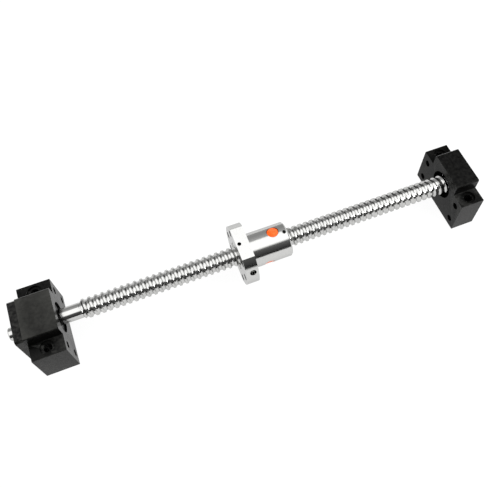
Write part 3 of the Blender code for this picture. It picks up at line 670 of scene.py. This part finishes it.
def race_profile(x_start, x_end, wall, ball_circle, outward):
    """Section of a bearing ring with a ball groove. outward is 1 for the outer ring, -1 for the inner."""
    offset, groove, edge = RACE_OFFSET, RACE_GROOVE_RADIUS, RACE_EDGE
    shoulder = ball_circle + outward * offset
    middle = (x_start + x_end) / 2
    limit = math.acos(offset / groove)
    arc = []
    for k in range(RACE_POINTS):
        at = limit * (2 * k / (RACE_POINTS - 1) - 1)
        arc.append((middle + groove * math.sin(at), ball_circle + outward * groove * math.cos(at)))
    return [
        (x_start + edge, wall), (x_start, wall + edge * -outward), (x_start, shoulder), *arc,
        (x_end, shoulder), (x_end, wall + edge * -outward), (x_end - edge, wall),
    ]


def make_bearing_rings(finishes):
    for bearing, bore, outside in BEARINGS:
        ball_circle = (bore + outside) / 2 * MM
        for ring, wall, outward, body in (("inner", bore, -1, "screw"), ("outer", outside, 1, "supports")):
            node = f"{bearing}_{ring}_ring"
            low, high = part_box(node)
            profile = race_profile(low.x, high.x, wall * MM, ball_circle, outward)
            race = lathe(f"{bearing}_{ring}_race", profile)
            dress(race, node, body, finishes["bearing_steel"])


# ---- nut ----

def flange_outline():
    """Circle with two parallel flats, in (y, z)."""
    reach = 90 - math.degrees(math.acos(FLANGE_FLATS / 2 / FLANGE_RADIUS))
    steps = FLANGE_ARC_STEPS
    outline = []
    for middle in (90, 270):
        for k in range(steps + 1):
            point = on_axis(0, FLANGE_RADIUS, NUT_ROLL + middle - reach + 2 * reach * k / steps)
            outline.append((point.y, point.z))
    return outline


def return_places(nut_start):
    """Station and angle of each return."""
    for k in range(RETURN_COUNT):
        angle = NUT_ROLL + RETURN_ROLL + 360 / RETURN_COUNT * k
        yield nut_start + FIRST_RETURN_FROM_FLANGE - k * RETURN_STEP, angle


def make_nut(finishes):
    low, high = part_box("nut_body")
    start, end = low.x, high.x
    edge = NUT_END_CHAMFER
    nut = lathe("nut", [
        (start + FLANGE_THICKNESS / 2, 0), (start + FLANGE_THICKNESS / 2, NUT_BODY_RADIUS),
        (end - edge, NUT_BODY_RADIUS), (end, NUT_BODY_RADIUS - edge), (end, 0),
    ], 144, closed=False)
    combine(nut, "UNION", prism("flange", flange_outline(), start, start + FLANGE_THICKNESS))
    track = groove_profile(NUT_LAND_RADIUS, TRACK_GROOVE_POINTS)
    track_start = land_before(start - LEAD)
    combine(nut, "DIFFERENCE", helical_solid("track", track, track_start, TRACK_TURNS, TRACK_STEPS))
    for x, sign in ((start, 1), (end, -1)):
        outside, inside = x - sign * CUT, x + sign * WIPER_POCKET_DEPTH
        combine(nut, "DIFFERENCE", rod((outside, 0, AXIS_HEIGHT), (inside, 0, AXIS_HEIGHT),
                                       WIPER_POCKET_RADIUS, 96))
    for angle in FLANGE_HOLE_ANGLES:
        spot = on_axis(start + FLANGE_THICKNESS / 2, BOLT_CIRCLE_RADIUS, NUT_ROLL + angle)
        reach = Vector((FLANGE_THICKNESS, 0, 0))
        combine(nut, "DIFFERENCE", rod(spot - reach, spot + reach, FLANGE_HOLE_RADIUS))
    x, angle = start + GREASE_HOLE_STATION, NUT_ROLL + GREASE_HOLE_ANGLE
    combine(nut, "DIFFERENCE",
            rod(on_axis(x, NUT_BODY_RADIUS, angle), on_axis(x, FLANGE_RADIUS + CUT, angle),
                GREASE_HOLE_RADIUS),
            rod(on_axis(x, NUT_LAND_RADIUS, angle), on_axis(x, NUT_BODY_RADIUS + CUT, angle),
                GREASE_CHANNEL_RADIUS, 24))
    for x in (start + WIPER_SCREW_INSETS[0], end - WIPER_SCREW_INSETS[1]):
        combine(nut, "DIFFERENCE", rod(on_axis(x, WIPER_SCREW_HOLE_FLOOR, NUT_ROLL),
                                       on_axis(x, FLANGE_RADIUS, NUT_ROLL), WIPER_SCREW_HOLE_RADIUS, 32))
    for x, angle in return_places(start):
        combine(nut, "DIFFERENCE", rod(on_axis(x, NUT_LAND_RADIUS, angle),
                                       on_axis(x, NUT_BODY_RADIUS + NUT_EDGE, angle), RETURN_HOLE_RADIUS))
    soften_edges(nut, NUT_EDGE)
    dress(nut, "nut_body", "nut", finishes["nut_steel"])


def make_returns(finishes):
    """Round plastic ball returns, sunk a little in their holes, with a dished face."""
    for number, (x, angle) in enumerate(return_places(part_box("nut_body")[0].x), start=1):
        low, high = on_axis(x, RETURN_FLOOR, angle), on_axis(x, RETURN_TOP, angle)
        length, edge = (high - low).length, RETURN_EDGE
        insert = lathe(f"ball_return_{number}", [
            (0, 0), (0, RETURN_RADIUS - edge), (edge, RETURN_RADIUS), (length - edge, RETURN_RADIUS),
            (length - edge * 0.3, RETURN_RADIUS - edge * 0.3), (length, RETURN_RADIUS - edge),
            (length - RETURN_DISH_RIM, RETURN_RADIUS - 3 * edge), (length - RETURN_DISH, 0),
        ], 64, closed=False, origin=low, towards=high - low)
        dress(insert, f"return_insert_{number}", "nut", finishes["orange_plastic"])


def make_wiper_screws(finishes):
    for side in ("left", "right"):
        node = f"{side}_wiper_set_screw"
        low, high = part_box(node)
        x = (low.x + high.x) / 2
        bottom, top = on_axis(x, WIPER_SCREW_FLOOR, NUT_ROLL), on_axis(x, WIPER_SCREW_TOP, NUT_ROLL)
        length, radius, edge = WIPER_SCREW_TOP - WIPER_SCREW_FLOOR, WIPER_SCREW_RADIUS, WIPER_SCREW_EDGE
        screw = lathe(f"wiper_screw_{side}", [
            (0, 0), (0, radius - edge), (edge, radius),
            (length - edge, radius), (length, radius - edge), (length, 0),
        ], 32, closed=False, origin=bottom, towards=top - bottom)
        combine(screw, "DIFFERENCE", rod((bottom + top) / 2, on_axis(x, NUT_BODY_RADIUS, NUT_ROLL),
                                         WIPER_SOCKET_RADIUS, 6))
        dress(screw, node, "nut", finishes["black_oxide"])


def finish_cad_nodes(finishes):
    """Inner pieces that keep their CAD shape."""
    for name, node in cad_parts.items():
        if node.hide_render:
            continue
        slot = node.data.materials[0].name if node.data.materials else "bearing_steel"
        key = next((k for k in finishes if slot.startswith(k)), "bearing_steel")
        node.data.materials.clear()
        node.data.materials.append(finishes[key])


# ---- stage ----

def make_floor():
    """A glowing white table, so that it stays white under the object."""
    size = FLOOR_HALF_SIDE
    bm = bmesh.new()
    corners = [(-size, -size), (size, -size), (size, size), (-size, size)]
    bm.faces.new([bm.verts.new((x, y, -FLOOR_DROP)) for x, y in corners])
    floor = new_piece("floor", bm)
    finish = Finish("white_table", 0.0, 0.9)
    finish.shader.inputs["Base Color"].default_value = (FLOOR_TONE, FLOOR_TONE, FLOOR_TONE, 1.0)
    finish.shader.inputs["Emission Color"].default_value = (1.0, 1.0, 1.0, 1.0)
    finish.shader.inputs["Emission Strength"].default_value = FLOOR_GLOW
    floor.data.materials.append(finish.material)


def world_node(tree, kind, *sources, operation=None, **values):
    """A node of the world with its first inputs linked to sources and other inputs set by name."""
    node = tree.nodes.new(f"ShaderNode{kind}")
    if operation:
        node.operation = operation
    for socket, value in values.items():
        node.inputs[socket.replace("_", " ")].default_value = value
    for socket, source in zip(node.inputs, sources):
        tree.links.new(source, socket)
    return node


def make_tent():
    """A soft light tent as the world: bright overhead, dim on the camera's side, with a dark flag behind."""
    world = bpy.data.worlds.new("tent")
    bpy.context.scene.world = world
    world.use_nodes = True
    tree = world.node_tree
    place = world_node(tree, "TexCoord").outputs["Generated"]
    axes = world_node(tree, "SeparateXYZ", place).outputs
    forward = world_node(tree, "Math", axes["Y"], operation="MULTIPLY")
    forward.inputs[1].default_value = -1.0
    turn = world_node(tree, "Math", forward.outputs[0], axes["Z"], operation="ARCTAN2").outputs[0]
    share = world_node(tree, "MapRange", turn, From_Min=-math.pi / 2, From_Max=math.pi / 2).outputs[0]
    ramp = world_node(tree, "ValToRGB", share)
    stops = ramp.color_ramp.elements
    while len(stops) < len(TENT_PANELS):
        stops.new(0.5)
    for stop, (degrees, level) in zip(stops, TENT_PANELS):
        stop.position = (degrees + 90) / 180
        stop.color = (level, level, level, 1.0)
    across = world_node(tree, "MapRange", axes["X"], From_Min=FLAG_ACROSS[0], From_Max=FLAG_ACROSS[1])
    fade_start, fade_end = (math.radians(degrees) for degrees in FLAG_BEHIND)
    behind = world_node(tree, "MapRange", turn, From_Min=fade_start, From_Max=fade_end)
    flag = world_node(tree, "Math", across.outputs[0], behind.outputs[0], operation="MULTIPLY")
    dimmed = world_node(tree, "MapRange", flag.outputs[0], To_Min=1.0, To_Max=FLAG_LEVEL)
    background = tree.nodes["Background"]
    tree.links.new(ramp.outputs["Color"], background.inputs["Color"])
    tree.links.new(dimmed.outputs[0], background.inputs["Strength"])


def make_light(name, place, target, size, power):
    lamp = bpy.data.lights.new(name, "AREA")
    lamp.shape = "RECTANGLE"
    lamp.size, lamp.size_y = size
    lamp.energy = power
    made = bpy.data.objects.new(name, lamp)
    made.location = place
    made.rotation_euler = (Vector(target) - Vector(place)).to_track_quat("-Z", "Y").to_euler()
    bpy.context.scene.collection.objects.link(made)


def make_camera():
    """Looks down from the front left. Its place is counted from the fixed support's outer face."""
    azimuth, elevation, roll = (math.radians(a) for a in (CAMERA_AZIMUTH, CAMERA_ELEVATION, CAMERA_ROLL))
    origin = Vector((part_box("fixed_support_housing")[0].x, 0, 0))
    back = Vector((
        math.sin(azimuth) * math.cos(elevation),
        -math.cos(azimuth) * math.cos(elevation),
        math.sin(elevation),
    ))
    right = (-back).cross(Vector((0, 0, 1))).normalized()
    up = right.cross(-back)
    tilted_right = math.cos(roll) * right + math.sin(roll) * up
    tilted_up = math.cos(roll) * up - math.sin(roll) * right
    turn = Matrix((tilted_right, tilted_up, back)).transposed().to_4x4()
    lens = bpy.data.cameras.new("camera")
    lens.lens = LENS_LENGTH
    lens.sensor_width = SENSOR_WIDTH
    lens.shift_x = LENS_SHIFT_X
    lens.shift_y = LENS_SHIFT_Y
    lens.clip_start = NEAR_CLIP
    camera = bpy.data.objects.new("camera", lens)
    camera.matrix_world = Matrix.Translation(origin + Vector(CAMERA_PLACE) * MM) @ turn
    bpy.context.scene.collection.objects.link(camera)
    bpy.context.scene.camera = camera


finishes = make_finishes()
make_camera()
make_screw(finishes)
make_supports(finishes)
make_cover(finishes)
make_cover_screws(finishes)
make_rings(finishes)
make_bearing_rings(finishes)
make_nut(finishes)
make_returns(finishes)
make_wiper_screws(finishes)
finish_cad_nodes(finishes)
make_floor()
make_tent()
make_light("front_right", (0.45, -0.35, 0.45), (0.1, 0.0, 0.0), (0.3, 0.3), 2.0)
bpy.context.scene.view_settings.view_transform = "Standard"
